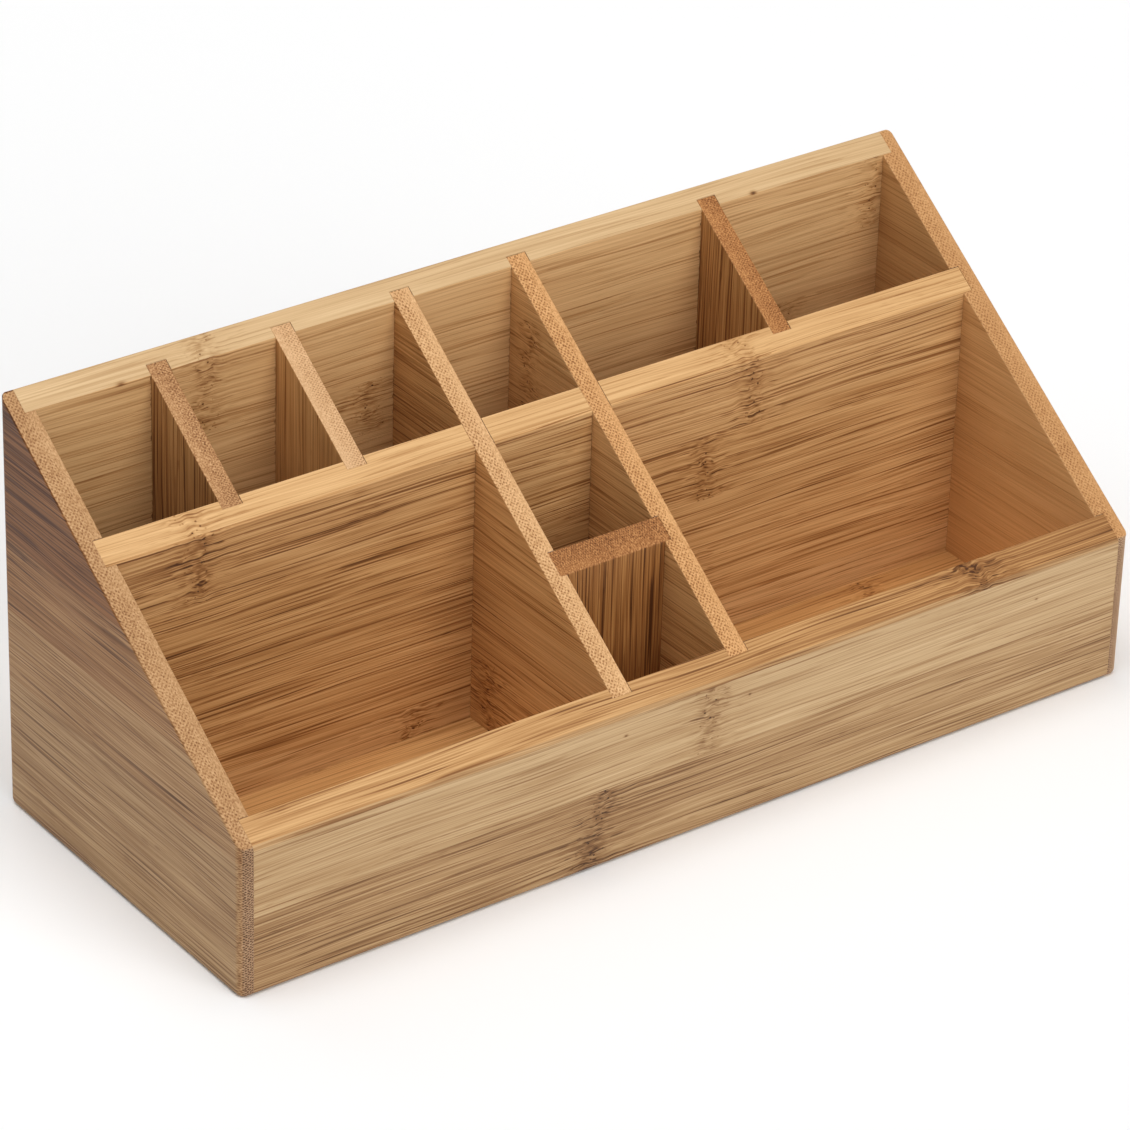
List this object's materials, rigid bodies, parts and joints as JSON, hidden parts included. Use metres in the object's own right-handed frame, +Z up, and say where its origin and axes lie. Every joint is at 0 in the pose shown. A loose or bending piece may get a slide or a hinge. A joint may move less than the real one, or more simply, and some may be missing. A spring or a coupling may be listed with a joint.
{
  "type": "desk organizer",
  "caption": "Bamboo desk organizer: a slant-topped tray, high at the back and low at the front, divided by upright boards into open compartments for pens, notes, cards and small stationery.",
  "frame": {"origin": "on the supporting surface, under the centre of the footprint", "axes": "+X to the right of a person facing the front, +Y to the back, +Z up"},
  "size_m": [0.33, 0.128, 0.1385],
  "materials": {
    "outer_bamboo": "satin clear-lacquered carbonised bamboo, long grain",
    "panel_bamboo": "satin clear-lacquered carbonised bamboo, long grain",
    "floor_bamboo": "satin clear-lacquered carbonised bamboo, long grain",
    "divider_bamboo": "satin clear-lacquered carbonised bamboo, long grain",
    "upright_bamboo": "satin clear-lacquered carbonised bamboo, upright grain"
  },
  "bodies": {
    "root": {"left_side": "outer_bamboo", "right_side": "outer_bamboo", "back_panel": "outer_bamboo", "front_panel": "outer_bamboo", "middle_panel": "panel_bamboo", "bottom_panel": "floor_bamboo", "long_divider_left": "divider_bamboo", "long_divider_right": "divider_bamboo", "short_divider_1": "upright_bamboo", "short_divider_2": "upright_bamboo", "short_divider_3": "upright_bamboo", "cross_divider": "upright_bamboo"}
  },
  "joints": []
}
